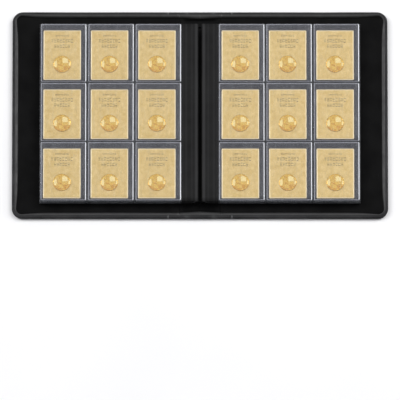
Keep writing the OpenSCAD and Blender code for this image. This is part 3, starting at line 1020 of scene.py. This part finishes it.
# %% [markdown]
# The pockets are clear film, welded to the sheet round the sides and the foot of each pocket and open at the
# top. Each pocket is one small grid: its height rises quickly from the weld, stays at full height over the
# holder and sags a little in the middle. A faint ripple keeps the reflections of the pockets from being alike.

# %% Film pockets
COLUMNS, ROWS = 3, 3
low_all, high_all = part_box("right_lower_holders")
PITCH_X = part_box("right_holder_b")[0].x - hold_low.x
PITCH_Y = (high_all.y - low_all.y) - HOLD_H
CELL_X0, CELL_Y0 = GUTTER, film_low.y
FOOT_X, FOOT_Y, SLOPE = 2.15 * MM, 1.1 * MM, 1.1 * MM


def pocket_lines(length, foot_low, foot_high):
    """Positions across a pocket, close together on the slopes beside its two feet."""
    low, high = foot_low, length - foot_high
    slope = SLOPE * np.linspace(0, 1, 7)
    flat = np.linspace(low + SLOPE, high - SLOPE, 12)
    return np.unique(np.round(np.concatenate([[0, low], low + slope, flat, high - slope, [length]]), 7))


def film_patch(x0, y0, level, rise, seed):
    """One pocket of film: height = level + rise * (edge across) * (edge along) * (1 - sag in the middle)."""
    xs, ys = pocket_lines(PITCH_X, FOOT_X, FOOT_X), pocket_lines(PITCH_Y - FOOT_Y, FOOT_Y, 0.0)
    x, y = np.meshgrid(xs, ys, indexing="ij")
    across = eased((x - FOOT_X) / SLOPE) * eased((PITCH_X - FOOT_X - x) / SLOPE)
    along = eased((y - FOOT_Y) / SLOPE)
    middle = np.sin(math.pi * np.clip(x / PITCH_X, 0, 1)) * np.sin(math.pi * np.clip(y / PITCH_Y, 0, 1))
    ripple = 0.06 * MM * np.sin(x / 0.013 + seed) * np.sin(y / 0.019 + 2 * seed)
    z = level + rise * across * along * (1 - 0.03 * middle) + ripple * across * along
    return np.stack([x + x0, y + y0, z], -1), grid_faces(*x.shape)


def cell(side, column, row):
    """Lower left corner of a pocket. Column 0 is the left one on both sides of the album."""
    x = CELL_X0 + column * PITCH_X if side > 0 else -CELL_X0 - (COLUMNS - column) * PITCH_X
    return x, CELL_Y0 + row * PITCH_Y


ALL_CELLS = [(c, r) for c in range(COLUMNS) for r in range(ROWS)]
for name, side in PAGE_SIDES:
    for i in PARENT_OF:
        low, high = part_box(f"right_films_{i}")
        sheet_low, sheet_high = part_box(f"right_sheet_{i}")
        top = [film_patch(*cell(side, c, r), sheet_high.z + FILM_T, high.z - sheet_high.z - FILM_T, i + 2 * c + 5 * r)
               for c, r in ALL_CELLS]
        under = [film_patch(*cell(side, c, r), sheet_low.z - FILM_T, low.z - sheet_low.z + FILM_T, 3 * i + c + 4 * r)
                 for c, r in ALL_CELLS]
        films = mesh_piece(f"{name}_film_pockets_{i}", top + [(grid, faces[:, ::-1]) for grid, faces in under])
        thicken(films, FILM_T)
        films.data.materials.append(film_clear)
        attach(films, f"{name}_leaf_{i}")
        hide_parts(f"{name}_films_{i}")
print(f"pocket pitch {PITCH_X:.4f} x {PITCH_Y:.4f} m")

# %% [markdown]
# A holder is two sheets of rigid plastic, welded into one flat case with rounded edges and a rim that stands a
# little above the rest. The card has a raised line round its edge and lies in the case off its middle. A case and
# a card are slabs, so one section of (distance from the edge, height) in millimetres describes each of them.

# %% Holders
HOLDER_SECTION = [(3.2, 0.0), (0.5, 0.0), (0.15, 0.14), (0, 0.5), (0, 1.55), (0.12, 1.95), (0.45, 2.17), (0.9, 2.2),
                  (1.8, 2.18), (2.4, 2.02), (3.2, 1.98)]
CARD_SECTION = [(3.0, 0.0), (0.1, 0.0), (0, 0.08), (0, 0.36), (0.2, 0.53), (0.5, 0.6), (1.3, 0.6), (1.6, 0.55),
                (3.0, 0.55)]
SLAB_CORNER = 2 * MM
coin_low, coin_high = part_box("right_coin_a")
COIN_R = (coin_high.x - coin_low.x) / 2
HOLD_Z, CARD_Z, COIN_Z = hold_low.z, card_low.z, coin_low.z
COIN_AT = (coin_low.x + COIN_R - hold_low.x, coin_low.y + COIN_R - hold_low.y)
print(f"holder {HOLD_W:.4f} x {HOLD_H:.4f} m, card {CARD_W:.4f} x {CARD_H:.4f} m, coin {2 * COIN_R:.4f} m wide")

# %% [markdown]
# Real cards carry a few lines of small print. Here three rows of raised bars, which say nothing, stand for it. The
# sizes of the bars are drawn at random from a fixed seed, so they are the same on every card and in every run. A
# bar is a flat-topped pyramid, and its foot lies a hair above the card, where the gold is painted darker as shade to
# draw its edge.

# %% Raised marks
MARK_ROWS = ((0.892, 8, 1.00 * MM, 1.5 * MM), (0.790, 8, 1.90 * MM, 3.6 * MM), (0.680, 6, 1.85 * MM, 3.2 * MM))
MARK_Z = CARD_Z + 0.56 * MM


def raised_marks():
    """Bars as (x, y, half width, half height) from the card's corner. A row has a height on the card as a share of
    it, a number of bars and their largest half width and half height. Seven bars in ten are split in two."""
    rng = np.random.default_rng(7)
    marks = []
    for up, count, width, tall in MARK_ROWS:
        xs = CARD_W / 2 + (np.arange(count) - (count - 1) / 2) * (2 * width + 0.9 * MM)
        widths, talls = width * rng.uniform(0.7, 1.15, count), tall * rng.uniform(0.75, 1.0, count)
        for x, w, t, part in zip(xs, widths, talls, rng.uniform(0, 1, count)):
            y = up * CARD_H + tall * rng.uniform(-0.15, 0.15)
            share = part / 1.6
            halves = [(y + t * (1 - share), t * (share - 0.06)), (y - t * share, t * (1 - share - 0.06))]
            marks += [(x, middle, w, half) for middle, half in ([(y, t)] if part < 0.3 else halves)]
    return np.array(marks)


def mark_mesh(x0, y0, z0):
    """Each mark is a small flat-topped pyramid with six faces: a foot, a smaller head and four slopes."""
    marks = raised_marks()
    corner = np.array([(-1, -1), (1, -1), (1, 1), (-1, 1)], float)
    foot = marks[:, None, :2] + corner * marks[:, None, 2:]
    head = marks[:, None, :2] + corner * (marks[:, None, 2:] * [0.62, 0.45])
    flat = np.zeros(foot.shape[:2] + (1,))
    grid = np.concatenate([np.concatenate([foot, flat], -1), np.concatenate([head, flat + 0.22 * MM], -1)], 1)
    grid = grid + [x0, y0, z0]
    sides = [[k, (k + 1) % 4, (k + 1) % 4 + 4, k + 4] for k in range(4)] + [[4, 5, 6, 7], [3, 2, 1, 0]]
    faces = (np.array(sides)[None] + 8 * np.arange(len(marks))[:, None, None]).reshape(-1, 4)
    return grid.reshape(-1, 3), faces


print(len(raised_marks()), "marks on each card")

# %% [markdown]
# The coin is cut like a stone: a low dome of flat facets, three of them large and polished. Corners of the polished
# facets and a few loose corners are listed, in coin radii, and a Delaunay triangulation joins them and the
# border into triangles. A rounded border goes round the dome and under it. Each triangle keeps a polish number, which
# also sets how pale its painted glint is.

# %% Coin
FACETS = [[(0.06, 0.10), (0.66, 0.14), (0.60, 0.56), (0.30, 0.74), (0.02, 0.62)],
          [(-0.62, 0.44), (-0.88, 0.22), (-0.88, -0.30), (-0.64, -0.42), (-0.56, 0.0)],
          [(0.72, -0.22), (0.88, -0.24), (0.90, 0.12), (0.74, 0.24)]]
LOOSE = [(-0.30, 0.80), (-0.28, 0.36), (-0.34, -0.20), (0.10, -0.30), (-0.30, -0.66), (0.24, -0.72), (0.56, -0.46),
         (-0.05, -0.05)]
BORDER, TOP_EDGE = 24, 0.93
BORDER_ANGLE = 2 * math.pi * np.arange(BORDER) / BORDER


def coin_top():
    """Points and triangles of the coin's cut top, in coin radii, and a polish number for each triangle: 1 for three
    large mirror-polished facets, which are painted pale as glints, and up to 0.45 for the frosted ones between them."""
    points = [Vector((TOP_EDGE * math.cos(a), TOP_EDGE * math.sin(a))) for a in BORDER_ANGLE]
    points += [Vector(p) for p in LOOSE]
    rings = []
    for facet in FACETS:
        rings.append(list(range(len(points), len(points) + len(facet))))
        points += [Vector(p) for p in facet]
    found = delaunay_2d_cdt(points, [], [list(range(BORDER))] + rings, 1, 1e-6)
    rng = np.random.default_rng(3)
    polish_and_glint = [1.0 if any(i > 0 for i in origin) else rng.uniform(0, 0.45) for origin in found[5]]
    return np.array([tuple(p) for p in found[0]]), np.array([list(f) for f in found[2]]), polish_and_glint


TOP_POINTS, TOP_FACES, TOP_POLISH_AND_GLINT = coin_top()


def dome(radius_squared):
    """Height of the cut top in millimetres: 0.88 - 0.36 * radius squared."""
    return 0.88 - 0.36 * radius_squared


def coin_mesh(x0, y0, z0):
    """The cut top and its border, a profile of (radius, height) turned round the coin's middle."""
    rise = dome((TOP_POINTS ** 2).sum(1))
    top = np.concatenate([TOP_POINTS * COIN_R, rise[:, None] * MM], 1) + [x0, y0, z0]
    rings = np.array([TOP_EDGE, 0.945, 0.98, 1.0, 1.0, 0.97, 0.0]) * COIN_R
    heights = np.array([dome(TOP_EDGE ** 2), 0.64, 0.62, 0.45, 0.10, 0.0, 0.0]) * MM
    radius, phi = np.meshgrid(rings, BORDER_ANGLE, indexing="ij")
    height = np.repeat(heights[:, None], BORDER, 1)
    side = np.stack([x0 + radius * np.cos(phi), y0 + radius * np.sin(phi), z0 + height], -1)
    return [(top, TOP_FACES), (side, grid_faces(len(rings), BORDER, True))]


print(len(TOP_FACES), "triangles in the coin's top,", sum(f == 1.0 for f in TOP_POLISH_AND_GLINT), "of them polished")

# %% [markdown]
# The top row slides out of its pockets, so its holders, cards and coins are pieces of their own. Those of the two
# lower rows are one piece for each side and kind. A piece of several copies needs flat coordinates that start
# again in each copy, because the bands of the holder and the line of the card are drawn on them.

# %% Filled pockets


def flat_map(obj, origins, middle_at):
    """Gives a piece flat coordinates in metres, counted from the origin of the copy that a face belongs to, which
    is the copy whose middle lies nearest."""
    layer = obj.data.uv_layers.new(name="flat")
    co = np.empty(len(obj.data.vertices) * 3)
    obj.data.vertices.foreach_get("co", co)
    co = co.reshape(-1, 3)[:, :2]
    loops = np.empty(len(obj.data.loops), int)
    obj.data.loops.foreach_get("vertex_index", loops)
    starts = np.array([p.loop_start for p in obj.data.polygons])
    middle = np.array([p.center[:2] for p in obj.data.polygons])
    nearest = np.argmin(((middle[:, None] - (np.array(origins) + middle_at)[None]) ** 2).sum(-1), 1)
    totals = np.array([p.loop_total for p in obj.data.polygons])
    own = np.repeat(np.array(origins)[nearest], totals, 0)
    layer.data.foreach_set("uv", (co[loops] - own).astype(np.float32).ravel())


def store_polish_and_glint(obj, corners):
    """Stores how polished each facet is, which also sets its painted glint, found by the facet's middle. The coin's
    border gets a frosted one.
    """
    middles = [TOP_POINTS[TOP_FACES].mean(1) * COIN_R + [x + COIN_AT[0], y + COIN_AT[1]] for x, y in corners]
    centres = np.array([p.center[:] for p in obj.data.polygons])
    gap = ((centres[:, None, :2] - np.concatenate(middles)[None]) ** 2).sum(-1)
    on_top = (gap.min(1) < 1e-9) & (centres[:, 2] > COIN_Z + 0.4 * MM)
    polish_and_glint = np.where(on_top, np.tile(TOP_POLISH_AND_GLINT, len(corners))[gap.argmin(1)], 0.2)
    obj.data.attributes.new("polish_and_glint", "FLOAT", "FACE").data.foreach_set("value", polish_and_glint.astype(np.float32))


def pocket_piece(name, corners, maker, skin, smooth, origin, middle, body, replaced):
    """One piece made of copies, one at each holder corner, with the numbers that its material reads, its body and the
    node it stands for.
    """
    obj = mesh_piece(name, [part for x, y in corners for part in maker(x, y)], weld=1e-7, closed=True, smooth=smooth)
    obj.data.materials.append(skin)
    flat_map(obj, [(x + origin[0], y + origin[1]) for x, y in corners], middle)
    if skin is coin_gold:
        store_polish_and_glint(obj, corners)
    # The card's stored number marks the feet of the raised marks, where the gold is painted darker as shade.
    if skin is card_gold:
        set_attribute(obj, "edge", lambda p: np.where(np.abs(p[:, 2] - MARK_Z) < 3e-6, 1.0, 0.0))
    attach(obj, body)
    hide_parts(replaced)
    return obj


def slab_at(x, y, w, h, section, z):
    """A slab with its corner at (x, y), from a section in millimetres."""
    return slab(x, x + w, y, y + h, SLAB_CORNER, [(d * MM, z + up * MM) for d, up in section])


def holder_at(x, y):
    """The case whose corner is at (x, y)."""
    return [slab_at(x, y, HOLD_W, HOLD_H, HOLDER_SECTION, HOLD_Z)]


def card_at(x, y):
    """The card and its marks, in the case whose corner is at (x, y)."""
    return [slab_at(x + CARD[0], y + CARD[2], CARD_W, CARD_H, CARD_SECTION, CARD_Z),
            mark_mesh(x + CARD[0], y + CARD[2], MARK_Z)]


def coin_at(x, y):
    """The coin in the case whose corner is at (x, y)."""
    return coin_mesh(x + COIN_AT[0], y + COIN_AT[1], COIN_Z)


KINDS = (("clear_holder", "holder", holder_at, holder_clear, True, (0, 0), (HOLD_W / 2, HOLD_H / 2), "rigid_holder"),
         ("foil_card", "card", card_at, card_gold, False, (CARD[0], CARD[2]), (CARD_W / 2, CARD_H / 2), "gold_card"),
         ("faceted_coin", "coin", coin_at, coin_gold, False, COIN_AT, (0, 0), "gold_coin"))
TOP_ROW = {letter: [(c, ROWS - 1)] for c, letter in enumerate("abc")}
GROUPS = {**TOP_ROW, "lower": [(c, r) for c, r in ALL_CELLS if r < ROWS - 1]}
HOLD_DX, HOLD_DY = hold_low.x - cell(1, 0, 2)[0], hold_low.y - cell(1, 0, 2)[1]
for name, side in PAGE_SIDES:
    for group, places in GROUPS.items():
        corners = [(cell(side, c, r)[0] + HOLD_DX, cell(side, c, r)[1] + HOLD_DY) for c, r in places]
        body = f"{name}_leaf_1" if group == "lower" else f"{name}_slot_{group}"
        for title, kind, maker, skin, smooth, origin, middle, slot_name in KINDS:
            replaced = f"{name}_lower_{kind}s" if group == "lower" else f"{name}_{kind}_{group}"
            pocket_piece(f"{name}_{title}_{group}", corners, maker, skin, smooth, origin, middle, body, replaced)
print(f"18 holders, cards and coins; the coin's middle is {COIN_AT[0]:.4f}, {COIN_AT[1]:.4f} m into its holder")

# %% Finish
visual_box = [list(map(float, corner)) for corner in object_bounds()]
grown = [(abs(v) - abs(c)) / MM for vs, cs in zip(visual_box, cad_box) for v, c in zip(vs, cs)]
print("past the CAD box by", [round(g, 2) for g in grown], "mm")
